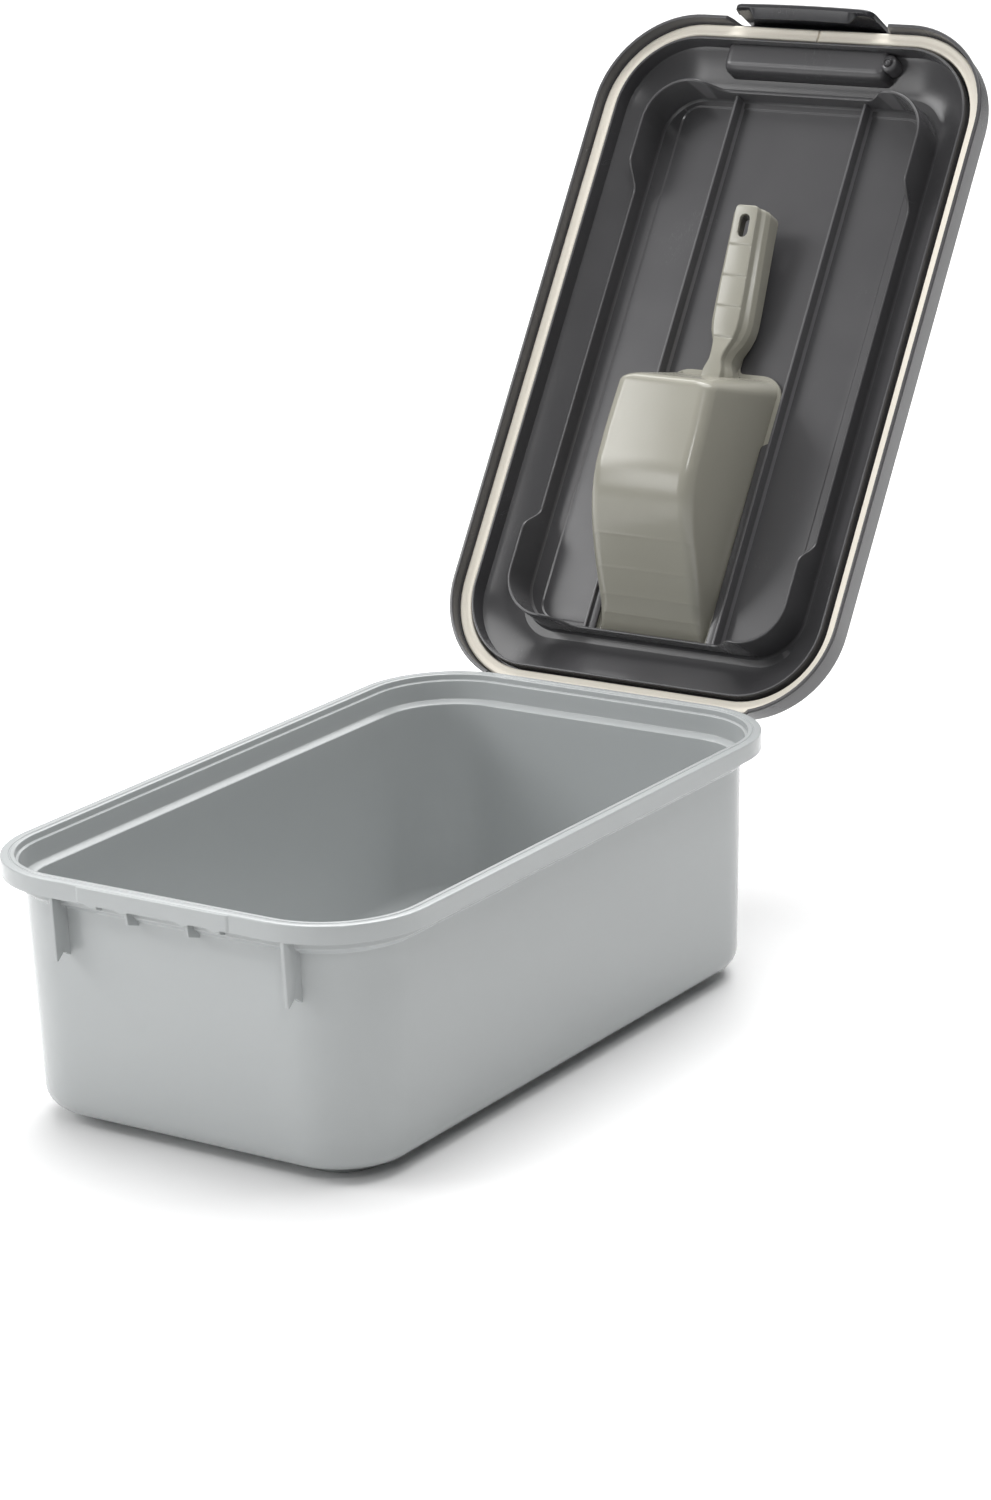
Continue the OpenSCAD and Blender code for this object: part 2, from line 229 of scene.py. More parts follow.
def loft(name, loops, ring=False, angle=38):
    """A solid through closed loops of points in mm; ring joins the last loop to the first."""
    bm = bmesh.new()
    rows = [[bm.verts.new(Vector(p) * MM) for p in loop] for loop in loops]
    pairs = list(zip(rows, rows[1:]))
    if ring:
        pairs.append((rows[-1], rows[0]))
    else:
        bm.faces.new(rows[0][::-1])
        bm.faces.new(rows[-1])
    for a, b in pairs:
        for i in range(len(a)):
            j = (i + 1) % len(a)
            bm.faces.new((a[i], a[j], b[j], b[i]))
    bmesh.ops.remove_doubles(bm, verts=bm.verts, dist=1e-7)
    bmesh.ops.recalc_face_normals(bm, faces=bm.faces)
    shade(bm, angle)
    mesh = bpy.data.meshes.new(name)
    bm.to_mesh(mesh)
    bm.free()
    made = bpy.data.objects.new(name, mesh)
    SCENE.collection.objects.link(made)
    return made


def prism_x(name, outline, x0, x1):
    """A plate across x with that outline in (y, z)."""
    return loft(name, [[(x, y, z) for y, z in outline] for x in (x0, x1)])


def prism_z(name, outline, z0, z1):
    """An upright block with that outline in (x, y)."""
    return loft(name, [[(x, y, z) for x, y in outline] for z in (z0, z1)])


def apply_modifiers(target):
    """Turns the modified shape into the object's own mesh."""
    graph = bpy.context.evaluated_depsgraph_get()
    mesh = bpy.data.meshes.new_from_object(target.evaluated_get(graph))
    target.modifiers.clear()
    target.data = mesh
    return target


def bevel(target, width, angle=40):
    """Rounds the edges sharper than the angle; width in mm."""
    m = target.modifiers.new("edges", "BEVEL")
    m.width = width * MM
    m.segments = 3
    m.limit_method = "ANGLE"
    m.angle_limit = math.radians(angle)
    m.use_clamp_overlap = True
    apply_modifiers(target)
    return reshade(target)


def reshade(target, angle=38):
    """Sets smooth and crisp edges again after the mesh has changed."""
    bm = bmesh.new()
    bm.from_mesh(target.data)
    shade(bm, angle)
    bm.to_mesh(target.data)
    bm.free()
    return target


def cut(target, *tools):
    """Takes the tools' volume out of the target and removes them."""
    for tool in tools:
        m = target.modifiers.new("cut", "BOOLEAN")
        m.operation = "DIFFERENCE"
        m.solver = "EXACT"
        m.object = tool
        apply_modifiers(target)
        bpy.data.objects.remove(tool)
    return reshade(target)


def joined(name, parts):
    """One object made of several meshes."""
    bm = bmesh.new()
    for part in parts:
        bm.from_mesh(part.data)
        bpy.data.objects.remove(part)
    mesh = bpy.data.meshes.new(name)
    bm.to_mesh(mesh)
    bm.free()
    made = bpy.data.objects.new(name, mesh)
    SCENE.collection.objects.link(made)
    return made


def dress(piece, material, body, opened=False):
    """Gives a piece its material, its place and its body."""
    piece.data.materials.clear()
    piece.data.materials.append(material)
    if opened:
        piece.data.transform(OPENED)
    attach(piece, body)
    return piece


# ------------------------------------------------------------------ materials
def add(tree, kind, links=None, **values):
    """A shader node with its settings and its incoming links."""
    made = tree.nodes.new(kind)
    for key, value in values.items():
        if key in made.inputs:
            made.inputs[key].default_value = value
        else:
            setattr(made, key, value)
    for socket, source in (links or {}).items():
        tree.links.new(source, made.inputs[socket])
    return made


def noise(tree, at, scale, detail=3.0, roughness=0.5):
    """Value of a noise pattern; scale is in patterns per metre."""
    return add(
        tree, "ShaderNodeTexNoise", {"Vector": at}, Scale=scale, Detail=detail, Roughness=roughness,
    ).outputs[0]


def remap(tree, value, low, high, to_low, to_high):
    """The value stretched from one range to another, held at the ends."""
    return add(
        tree, "ShaderNodeMapRange", {"Value": value},
        **{"From Min": low, "From Max": high, "To Min": to_low, "To Max": to_high},
    ).outputs[0]


def calc(tree, operation, a, b):
    """Arithmetic on two values, either of which may be a number."""
    made = add(tree, "ShaderNodeMath", operation=operation)
    for socket, value in zip(made.inputs, (a, b)):
        if isinstance(value, (int, float)):
            socket.default_value = value
        else:
            tree.links.new(value, socket)
    return made.outputs[0]


def bump(tree, height, distance, below=None):
    """A bump layer in mm on top of the one below."""
    links = {"Height": height}
    if below is not None:
        links["Normal"] = below
    return add(tree, "ShaderNodeBump", links, Strength=1.0, Distance=distance * MM).outputs[0]


def scratches(tree, at, scale, turn):
    """Thin broken lines in one direction, 1 on a line and 0 beside it."""
    turned = add(
        tree, "ShaderNodeMapping", {"Vector": at}, Rotation=turn, Scale=(1.0, 0.045, 0.3),
    ).outputs[0]
    lines = noise(tree, turned, scale, 1.0, 0.4)
    off_line = calc(tree, "ABSOLUTE", calc(tree, "SUBTRACT", lines, 0.5), 0.0)
    thin = remap(tree, off_line, 0.0, 0.004, 1.0, 0.0)
    patches = remap(tree, noise(tree, at, 21.0, 2.0), 0.56, 0.66, 0.0, 1.0)
    return calc(tree, "MULTIPLY", thin, patches)


def tinted(colour, gain, lift=0.0):
    """The colour made darker or paler, with its alpha."""
    return [min(1.0, c * gain + lift) for c in colour] + [1.0]


def laid_over(tree, share, under, over):
    """The plain colour over, laid by its share on under, which may be a colour or a link."""
    made = add(tree, "ShaderNodeMix", {0: share}, data_type="RGBA")
    if isinstance(under, list):
        made.inputs[6].default_value = under
    else:
        tree.links.new(under, made.inputs[6])
    made.inputs[7].default_value = over
    return made.outputs[2]


def moulded_colour(tree, at, colour, lines, mottle, wear, edge):
    """Clouded colour, with paler rub marks and a painted highlight along sharp edges."""
    clouds = noise(tree, at, 11.0, 4.0, 0.55)
    specks = calc(tree, "MULTIPLY", noise(tree, at, 1400.0, 2.0, 0.6), 0.35)
    cloudy = remap(tree, calc(tree, "ADD", clouds, specks), 0.45, 0.9, 0.0, 1.0)
    base = laid_over(tree, cloudy, tinted(colour, 1 - mottle), tinted(colour, 1 + mottle))
    worn = laid_over(tree, calc(tree, "MULTIPLY", lines, 0.16 * wear), base, tinted(colour, 1.5, 0.04))
    # Painted highlight: sharp convex edges, found by pointiness, are lightened towards a pale copy of the
    # colour to stand in for the light they catch.
    pointed = add(tree, "ShaderNodeNewGeometry").outputs["Pointiness"]
    painted_edge_highlight = remap(tree, pointed, 0.53, 0.62, 0.0, edge)
    return laid_over(tree, painted_edge_highlight, worn, tinted(colour, 2.0, 0.06))


def moulded(
    name, colour, rough, spread=0.05, grain=0.02, wave=0.25, wear=0.5, mottle=0.04, ior=1.5, edge=0.0
):
    """Moulded plastic: mottled colour, uneven gloss, fine grain, slow waves, faint rub marks, and a painted
    highlight on sharp edges as strong as edge.
    """
    material = bpy.data.materials.new(name)
    material.use_nodes = True
    tree = material.node_tree
    tree.nodes.clear()
    at = add(tree, "ShaderNodeTexCoord").outputs["Object"]
    one_way = scratches(tree, at, 520.0, (0.2, 0.1, 0.5))
    other_way = scratches(tree, at, 430.0, (0.0, 0.4, -0.7))
    lines = calc(tree, "MAXIMUM", one_way, other_way)
    base = moulded_colour(tree, at, colour, lines, mottle, wear, edge)
    uneven = remap(tree, noise(tree, at, 38.0, 6.0, 0.62), 0.3, 0.7, rough - spread, rough + spread)
    gloss = calc(tree, "ADD", uneven, calc(tree, "MULTIPLY", lines, 0.18 * wear))
    normal = bump(tree, noise(tree, at, 13.0, 2.0, 0.4), wave)
    normal = bump(tree, noise(tree, at, 900.0, 3.0, 0.6), grain, normal)
    normal = bump(tree, lines, -0.012 * wear, normal)
    shader = add(
        tree, "ShaderNodeBsdfPrincipled",
        {"Base Color": base, "Roughness": gloss, "Normal": normal}, IOR=ior,
    )
    add(tree, "ShaderNodeOutputMaterial", {"Surface": shader.outputs[0]})
    return material


TUB_PLASTIC = moulded(
    "tub_plastic", (0.405, 0.422, 0.425), 0.17,
    spread=0.03, grain=0.002, wave=0.22, wear=0.12, mottle=0.012,
)
# The lid gets a painted highlight on its sharp edges, set by edge.
LID_PLASTIC = moulded(
    "lid_plastic", (0.062, 0.061, 0.064), 0.24,
    spread=0.03, grain=0.001, wave=0.25, wear=0.25, mottle=0.05, edge=0.4,
)
SEAL_RUBBER = moulded(
    "seal_rubber", (0.86, 0.81, 0.71), 0.66,
    grain=0.03, wave=0.2, wear=0.2, mottle=0.04, ior=1.45,
)
# The latch gets a painted highlight on its sharp edges, set by edge.
LATCH_PLASTIC = moulded(
    "latch_plastic", (0.020, 0.020, 0.023), 0.26,
    spread=0.02, grain=0.004, wave=0.04, wear=0.15, mottle=0.08, edge=0.3,
)
SCOOP_PLASTIC = moulded(
    "scoop_plastic", (0.305, 0.296, 0.25), 0.2,
    spread=0.03, grain=0.003, wave=0.3, wear=0.06, mottle=0.03,
)


# ------------------------------------------------------------------ tub
def tub_shell():
    """Wall, floor, stepped ledge and rim band; the walls bow out a little."""
    top = RIM_R - 12.3
    foot = top - 4
    high = TUB_H - 18
    low = 8
    outline = rounded([
        (18, 8.4), (foot - 2.4, 8.4, 12), (top - 2.5, TUB_H - 16.4, 0.8),
        (RIM_R - 10.4, TUB_H - 14.4, 1), (RIM_R - 9.6, TUB_H - 3.6, 0.5), (RIM_R - 8, TUB_H - 3.3, 0.5),
        (RIM_R - 7.7, TUB_H, 0.7), (RIM_R - 5.4, TUB_H, 0.2), (RIM_R - 5.1, TUB_H - 0.5, 0.15),
        (RIM_R - 4.5, TUB_H - 0.5, 0.15), (RIM_R - 4.2, TUB_H, 0.2), (RIM_R, TUB_H, 0.9),
        (RIM_R, TUB_H - 10, 0.5), (RIM_R - 2.1, TUB_H - 10, 0.4), (RIM_R - 2.2, TUB_H - 2.4, 0.8),
        (RIM_R - 7.7, TUB_H - 2.5, 0.8), (RIM_R - 7.8, TUB_H - 15.1, 1.5), (top, TUB_H - 18.5, 1.5),
        (foot, 6, 14), (18, 6)], 6, closed=False)
    outline = divided(outline, 9)

    def belly(r, z):
        """Share of the wall's bow at that height; none in the floor and in the rim."""
        if r <= 30 or not low < z < high:
            return 0
        return math.sin(math.pi * (z - low) / (high - low))

    def profile(cx, cy, nx, ny):
        bow = 0
        if abs(nx) > 0.99:
            bow = 1.1 * (1 - min(1, (2 * cy / CORE_L) ** 2))
        elif abs(ny) > 0.99:
            bow = 0.5 * (1 - min(1, (2 * cx / CORE_W) ** 2))
        return [(r + bow * belly(r, z), z) for r, z in outline]

    return loft("tub_shell", around(stations(CORE_W, CORE_L, 6), profile))


def foot_ring():
    """Ring the tub stands on."""
    outline = rounded([(FOOT_R - 3, 0, 0.5), (FOOT_R, 0, 0.7), (FOOT_R + 0.3, 7), (FOOT_R - 3.3, 7)], 4)
    inset = 2 * (FOOT_INSET + FOOT_R)
    ring = stations(RIM_W - inset, RIM_L - inset, 400, 12)
    return loft("tub_foot_ring", around(ring, lambda *stop: outline), ring=True)


def tub_fins():
    """Two upright fins and four gussets under the latch end's rim."""
    parts = []
    for x in FIN_XS:
        outline = rounded([
            (FRONT + 0.8, TUB_H - 9, 0), (FRONT + 2.2, TUB_H - 46, 0.8), (FRONT + 8, TUB_H - 41.5, 1),
            (FRONT + 15, TUB_H - 46, 0), (FRONT + 15, TUB_H - 9, 0)])
        parts.append(bevel(prism_x("fin", outline, x - 1.2, x + 1.2), 0.4))
    for gusset_x, drop in ((OUTER_GUSSET, 3.2), (INNER_GUSSET, 8)):
        outline = rounded([
            (FRONT + 2.4, TUB_H - 9, 0), (FRONT + 3.6, TUB_H - 10 - drop, 1.5),
            (FRONT + 13, TUB_H - 13 - drop, 0), (FRONT + 13, TUB_H - 9, 0)])
        for x in (-gusset_x, gusset_x):
            parts.append(bevel(prism_x("gusset", outline, x - 0.9, x + 0.9), 0.3))
    return joined("tub_fins", parts)


def tub_catch():
    """Proud length of rim band that the latch snaps under; its lower edge dips at each gusset."""
    loops = []
    for x in range(-CATCH_HALF, CATCH_HALF + 1):
        near = min(abs(abs(x) - gusset_x) for gusset_x in (OUTER_GUSSET, INNER_GUSSET))
        dip = 1.5 * (1 - smooth(near / 5)) - 0.5 * smooth(near / 9)
        end = smooth((CATCH_HALF - abs(x)) / 1.2)
        y = FRONT + 0.1 - CATCH_PROUD * end
        low = TUB_H - 9.8 - dip
        outline = rounded([
            (FRONT + 2.5, TUB_H - 0.5), (y, TUB_H - 0.4, 0.7), (y, low, 0.6), (FRONT + 2.5, low)], 4)
        loops.append([(x, a, b) for a, b in outline])
    return loft("tub_catch", loops)


def tub_hinges():
    """Two brackets at the rear: cheeks with a round bar between them."""
    y, z = HINGE.y, HINGE.z
    outline = rounded([
        (y - 7, z + 3.5, 0), (y + 1, z + 3.5, 2.5), (y + 3, z + 2, 1), (y + 4.6, z - 1.6, 1),
        (y + 12, z - 5.9, 0.6), (y + 12, z - 9, 1.5), (y - 6, z - 26, 2), (y - 18, z - 34, 0),
        (y - 18, z - 9, 0), (y - 7, z - 6, 0)])
    parts = []
    for hinge_x in (-HINGE_X, HINGE_X):
        for side in (-1, 1):
            x = hinge_x + side * 14.8
            parts.append(bevel(prism_x("cheek", outline, x - 1.5, x + 1.5), 0.4))
        parts.append(prism_x("bar", circle(y, z, BAR_R, 32), hinge_x - 16, hinge_x + 16))
    return joined("tub_hinges", parts)


# ------------------------------------------------------------------ lid
def rise(t):
    """Height of the panel's slope above the flat rim, t from the rim (0) to the panel (1)."""
    return PANEL_RISE * (1 - (1 - t) ** 1.35)


def slope_d(r):
    """Height of the lid's top surface at distance r from the corner centres."""
    return SKIRT_H + rise(min(1, max(0, (FLAT_R - r) / (FLAT_R - PANEL_R))))


def lid_shell():
    """Skirt, flat rim, slope and panel, with the low wall inside the seal.

    The skirt is notched for the latch at the front and for the hinge brackets at the rear.
    """
    slope = [FLAT_R + (PANEL_R - FLAT_R) * i / 14 for i in range(1, 14)]
    under = [(r, slope_d(r) - LID_T) for r in reversed(slope) if r < RIM_R - 12.2]
    points = [
        (7, UNDER + 0.7), (10.6, UNDER + 0.7, 0.4), (11.6, UNDER, 0.5), (PANEL_R - 0.6, UNDER, 1.0), *under,
        (RIM_R - 11.4, 16.4, 1.2), (RIM_R - 11.4, 5, 0.6), (RIM_R - 9.8, 5, 0.6), (RIM_R - 9.8, 14.5, 0.6),
        (LID_R - 2.6, 14.5, 0.6), (LID_R - 2.5, 8.4, 0.4), (LID_R - 2.2, 8.0, 0.2), (LID_R - 2.2, 0, 0.4),
        (LID_R, 0, 0.6), (LID_R, 1.4, 0.4), (LID_R - 0.7, 2.2, 0.3), (LID_R - 1.4, SKIRT_H, 1.6),
        (FLAT_R + 0.4, SKIRT_H, 0.8), *[(r, slope_d(r)) for r in slope], (PANEL_R, PANEL_TOP, 1.0),
        (10.2, PANEL_TOP, 0.4), (9.4, PANEL_TOP - 0.6, 0.4), (7, PANEL_TOP - 0.6)]
    outline = rounded(points, 5, closed=False)

    def profile(cx, cy, nx, ny):
        raised = 0.0
        if ny < -0.99:
            raised = 14.3 * smooth((55.5 - abs(cx)) / 4.0)
        elif ny > 0.9:
            raised = 4.6 * smooth((18.6 - abs(abs(cx + nx * LID_R) - HINGE_X)) / 1.2)
        return [(r, max(d, raised) if r > LID_R - 3.7 and d < 14.4 else d) for r, d in outline]

    return loft("lid_shell", around(stations(CORE_W, CORE_L, 2, 20), profile), angle=32)


def pocket_cutter():
    """Hollow of the latch pocket."""
    low, high = LATCH_Y - 8, LATCH_Y + 6
    outline = rounded([(-50, low, 1.5), (50, low, 1.5), (50, high, 1.5), (-50, high, 1.5)], 4)
    return prism_z("pocket", outline, LATCH_D - 5, LATCH_D + 16)


def pocket_trough():
    """Rounded bar on the lid's underside that houses the latch's knuckle."""
    loops = []
    nose = [56, 55.8, 55.2, 54, 52.4]
    for x in [-spot for spot in nose] + list(range(-50, 51, 5)) + nose[::-1]:
        end = max(0.0, (abs(x) - nose[-1]) / (nose[0] - nose[-1]))
        squeeze = 1 - math.sqrt(max(0.0, 1 - end * end))
        low = LATCH_D - 7.6 + 5.5 * squeeze
        side = 3.0 * squeeze
        front, back = LATCH_Y - 9 + side, LATCH_Y + 9.4 - side
        outline = rounded([
            (front, slope_d(-front - CORE_L / 2) - 1.2), (front, low, 5.5), (back, low, 5.5),
            (back, slope_d(-back - CORE_L / 2) - 1.2), (LATCH_Y, slope_d(-LATCH_Y - CORE_L / 2) - 1.2)], 7)
        loops.append([(x, y, d) for y, d in outline])
    return loft("lid_trough", loops)


def pin_boss():
    """Round boss over the pin's end, with a domed button in it."""
    boss = [(5.6, 20), (5.6, 12.6), (5.2, 11.4), (4.4, 10.7), (3.2, 10.5)]
    button = [(2.6, 11.2), (2.2, 11.3), (2.0, 10.2), (1.4, 9.5), (0.6, 9.2)]
    loops = []
    for radius, d in boss + button:
        loops.append([(x, y, d) for x, y in circle(57, LATCH_Y - 1, radius, 40)])
    return loft("lid_pin_boss", loops)


def frame_wall():
    """Thin wall under the panel, taller at its four corners, with a flared foot."""
    low = 15.0

    def top(x, y):
        corner = min(smooth((abs(y) - 104) / 17), smooth((abs(x) - 48) / 18))
        return low - 14.6 * corner

    def profile(cx, cy, nx, ny):
        d = top(cx + nx * RING_R, cy + ny * RING_R)
        return rounded([
            (RING_R + 2.0, UNDER + 0.8), (RING_R + 0.15, UNDER - 1.6, 1.6), (RING_R - 0.1, d, 0.7),
            (RING_R - 1.8, d, 0.7), (RING_R - 2.15, UNDER - 1.6, 1.6), (RING_R - 4.0, UNDER + 0.8)], 4)

    ring = stations(RING_W - 2 * RING_R, RING_L - 2 * RING_R, 2, 18)
    return loft("lid_frame_wall", around(ring, profile), ring=True)


def lid_ribs():
    """Two full-length ribs; each has a lip near the hinge end that holds the scoop's flange."""
    parts = []
    length = RING_L / 2 - 1
    for side in (-1, 1):
        outline = rounded([
            (-2.6, UNDER + 0.6), (-1.0, UNDER - 1.3, 1.3), (-0.85, UNDER - RIB_H, 0.5),
            (0.85, UNDER - RIB_H, 0.5), (1.0, UNDER - 1.3, 1.3), (2.6, UNDER + 0.6)], 4)
        ends = [[(side * RIB_X + x, y, d) for x, d in outline] for y in (-length, length)]
        parts.append(loft("rib", ends))
        inner, outer = side * (RIB_X - 6), side * RIB_X
        outline = rounded([
            (inner, TIP_Y - 125, 3), (inner, TIP_Y + 1, 0),
            (outer, TIP_Y + 1, 0), (outer, TIP_Y - 128, 0)], 6)
        parts.append(bevel(prism_z("lip", outline, UNDER - 6, UNDER - 4), 0.35))
    return joined("lid_ribs", parts)


def lid_clips():
    """Two clips that snap over the tub's hinge bars."""
    parts = []
    y, d = HINGE.y, HINGE.z - LID_Z
    outer, inner = 4.4, BAR_R + 0.06
    mouth = math.radians(-72)
    half = math.radians(42)
    arc = [mouth + half + (2 * math.pi - 2 * half) * i / 28 for i in range(29)]
    ring = [(y + outer * math.cos(a), d + outer * math.sin(a)) for a in arc]
    ring += [(y + inner * math.cos(a), d + inner * math.sin(a)) for a in reversed(arc)]
    arm = rounded([(y - 4.4, d + 2), (y + 0.6, d + 3.4), (y + 0.6, d + 12, 1.5), (y - 4.4, d + 12)])
    for x in (-HINGE_X, HINGE_X):
        parts.append(bevel(prism_x("clip", ring, x - 13, x + 13), 0.3))
        parts.append(bevel(prism_x("arm", arm, x - 13, x + 13), 0.3))
    return joined("lid_clips", parts)


# ------------------------------------------------------------------ seal
def seal_band():
    """Rubber band in the lid's channel, two soft lips with a groove between, butted at the latch end."""
    inner, outer = RIM_R - 7.9, RIM_R - 0.3
    low = 7.9
    outline = rounded([
        (inner, 14.5), (inner, low + 0.5, 0.9), (inner + 1.2, low, 0.9), (inner + 3.4, low + 0.6, 0.5),
        (inner + 4.2, low + 0.6, 0.5), (outer - 1.2, low, 0.9), (outer, low + 0.5, 0.9), (outer, 14.5)], 4)

    def profile(cx, cy, nx, ny):
        gap = 0.0
        if ny < -0.99:
            gap = 1.7 * max(0.0, 1 - abs(cx - 6) / 0.75) + 0.35 * max(0.0, 1 - abs(cx - 6) / 9)
        return [(r, d + gap if d < 12 else d) for r, d in outline]

    ring = stations(CORE_W, CORE_L, 4, 20)
    butt = [(x, -CORE_L / 2, 0.0, -1.0) for x in (4.6, 5.2, 5.7, 6.0, 6.3, 6.8, 7.4)]
    at = next(i for i, s in enumerate(ring) if s[3] < -0.99 and s[0] > 7.4 and i > len(ring) // 2)
    return loft("lid_seal_band", around(ring[:at] + butt + ring[at:], profile), ring=True)


# ------------------------------------------------------------------ latch
def latch_body():
    """Top plate, rounded shoulder, bowed front plate with round lower corners, and the hook."""
    loops = []
    side = [LATCH_HALF, *range(47, 41, -1), 40, *range(38, 31, -1)]
    for x in [-spot for spot in side] + list(range(-28, 29, 4)) + side[::-1]:
        off = max(0.0, abs(x) - (LATCH_HALF - 6))
        low = LATCH_LOW + 6 - math.sqrt(max(0.0, 36 - off * off))
        hook = smooth((38 - abs(x)) / 6)
        bow = 0.9 * (1 - (x / LATCH_HALF) ** 2)
        front = LATCH_FRONT + 0.6 - bow
        inside = front + 2.6
        reach = inside + 0.6 + 5.4 * hook
        outline = rounded([
            (LATCH_Y + 2, LATCH_D + 3.8, 0.6), (front, LATCH_D + 3.8, 5.0), (front - 0.3, low, 1.3),
            (inside, low, 0.6), (reach, low + 3.2, 0.5), (reach - 0.4 * hook, low + 4.4, 0.4),
            (inside, low + 4.8, 1.0), (inside, LATCH_D + 1.2, 2.4), (LATCH_Y + 2, LATCH_D + 1.2, 0.5)], 6)
        loops.append([(x, y, d) for y, d in outline])
    plate = bevel(loft("latch_plate", loops), 0.5, angle=55)
    knuckle = circle(LATCH_Y, LATCH_D, 4, 40)
    roll = bevel(prism_x("knuckle", knuckle, -LATCH_HALF, LATCH_HALF), 0.5, angle=55)
    return joined("latch_body", [plate, roll])


# ------------------------------------------------------------------ scoop
BOWL_DEPTH = 69.0
BOWL_HALF = 38.0
BEND_Y = HEEL_Y + 99
LEAN = 27.0
HOLLOW_L = BOWL_L + 3.4
SLOPE_LINES = [BOWL_L - back for back in (48, 32, 19, 10)]


def arc_inset(radius, distance):
    """How far a rounded edge draws in at that distance from where it starts."""
    left = max(0.0, radius - distance)
    return radius - math.sqrt(radius * radius - left * left)


def bowl_back(y):
    """Depth of the bowl's back under the mouth at y: nearly flat, a wide bend, then a slope to the tip."""
    bend = 22.0
    drop = 3
    tip = 2.6
    gentle = drop / (BEND_Y - HEEL_Y - LEAN)
    steep = (BOWL_DEPTH - drop - tip) / (TIP_Y - BEND_Y)
    if y < BEND_Y - bend:
        return BOWL_DEPTH - gentle * (y - HEEL_Y - LEAN)
    if y > BEND_Y + bend:
        return tip + steep * (TIP_Y - y)
    t = (y - BEND_Y + bend) / (2 * bend)
    start = BOWL_DEPTH - gentle * (BEND_Y - bend - HEEL_Y - LEAN)
    return start - gentle * 2 * bend * t - (steep - gentle) * bend * t * t


def bowl_body(name, inset, last):
    """Solid bowl, inset from its outer surface; each section leans with the heel.

    Its back is crowned and carries four faint raised lines across the slope.
    """
    loops = []
    steps = [0, 0.25, 0.8, 1.7, 2.9, 4.4, 6.2, 8.3, 10.8, 14, 18, 24] + list(range(30, 171, 4))
    steps += [line + k for line in SLOPE_LINES for k in (-1.0, -0.5, 0, 0.5, 1.0)]
    for s in sorted(v for v in steps if v < last) + [last]:
        y = HEEL_Y + HEEL_GAP + s + inset * (1 - s / BOWL_L)
        lean = LEAN * max(0.0, 1 - s / 95) ** 1.4
        plan = arc_inset(10 - inset, s)
        back = arc_inset(6, s)
        deep = bowl_back(min(TIP_Y, y + lean)) - back - inset * (1.0 if s < 90 else 1.25)
        deep = max(deep, 0.8)
        edge = min(8.5 - inset, 0.8 * deep)
        top = BOWL_HALF - plan - inset - 3.0 * smooth((s - 125) / 50)
        line = 0.0 if inset else 0.18 * max(0.0, 1 - min(abs(s - v) for v in SLOPE_LINES))
        narrow = 0.06 * deep + 1.6 * (1 - smooth(s / 60)) + 0.25 * plan
        outline = rounded([
            (-top, -4 if inset else 0), (-top + narrow, deep, edge), (top - narrow, deep, edge),
            (top, -4 if inset else 0)], 12)
        loop = []
        for x, m in outline:
            m += (0.7 * (1 - (x / top) ** 2) + line) * smooth(m / max(1.0, deep))
            loop.append((x, y + lean * m / BOWL_DEPTH, MOUTH - m))
        loops.append(loop)
    return loft(name, loops, angle=50)


def bowl_flange():
    """Flat flange round the mouth that rides in the rails, open at the tip."""
    loops = []
    for out, depth in ((0, 0.5), (0.5, 0), (4.6, 0), (5, 0.4), (5, 2.0), (4.6, 2.4), (0, 2.4)):
        half = BOWL_HALF - 2 + out
        heel = HEEL_Y + 1.8 - 0.6 * out
        neck = 5.0 + 0.4 * out
        under_grip, tip = HEEL_Y - 12, TIP_Y - 0.3
        outline = rounded([
            (-half, heel, 11 + out), (-neck, heel, 9 - out), (-neck, under_grip, 0), (neck, under_grip, 0),
            (neck, heel, 9 - out), (half, heel, 11 + out), (half, tip, 2), (-half, tip, 2)], 8)
        loops.append([(x, y, MOUTH - depth) for x, y in outline])
    return loft("bowl_flange", loops, ring=True)


def scoop_bowl():
    """Open bowl: a thin shell with a flange round its mouth."""
    hollow = bowl_body("bowl_hollow", 2.0, HOLLOW_L)
    shell = bowl_body("scoop_bowl", 0.0, BOWL_L)
    cut(shell, hollow)
    reshade(shell, 50)
    flange = cut(bowl_flange(), bowl_body("bowl_hollow", 1.0, HOLLOW_L))
    return joined("scoop_bowl", [shell, flange])


GRIP_L, GRIP_HALF, NECK_L = 97.0, 14.2, 16.0
GRIP_MARKS = [18.4 * i - 1 for i in range(1, 5)]


def grip_half(s):
    """Half the handle's width, s from the bowl's heel: flared into the bowl, pinched at the neck."""
    neck = 7.2 * (1 - smooth((s - 4) / 24)) if s > 4 else 7.2 - 3.6 * smooth((4 - s) / 10)
    taper = 1.5 * smooth((s - 30) / (GRIP_L - 30))
    end = arc_inset(4.0, GRIP_L - s)
    return GRIP_HALF - neck - taper - end


def grip_heights(s):
    """Depth under the mouth of the handle's outer face and of its open side."""
    run = max(0.0, s - NECK_L) / (GRIP_L - NECK_L)
    sag = 2.2 * smooth((NECK_L + 4 - s) / 16)
    return 18.5 + 14.5 * run + sag, 1.8 + 11.6 * run


def grip_loop(s, inset=0.0, mark=0.0):
    """Cross-section of the handle: a raised centre face between two lower, rounded shoulders."""
    half = grip_half(s) - inset
    face, back = grip_heights(s)
    face -= inset
    back += inset
    ridge = max(back + 3.5, face - 8.5)
    drop = face - ridge
    left = [
        (-half, back, 0.8), (-half, ridge, 1.8), (-half + 1.6, ridge + 0.36 * drop, 1.8),
        (-0.68 * half, ridge + 0.55 * drop, 1.4), (-0.61 * half, face - mark, 1.2)]
    outline = rounded(left + [(-x, m, radius) for x, m, radius in reversed(left)], 5)
    return [(x, HEEL_Y - s, MOUTH - m) for x, m in outline]


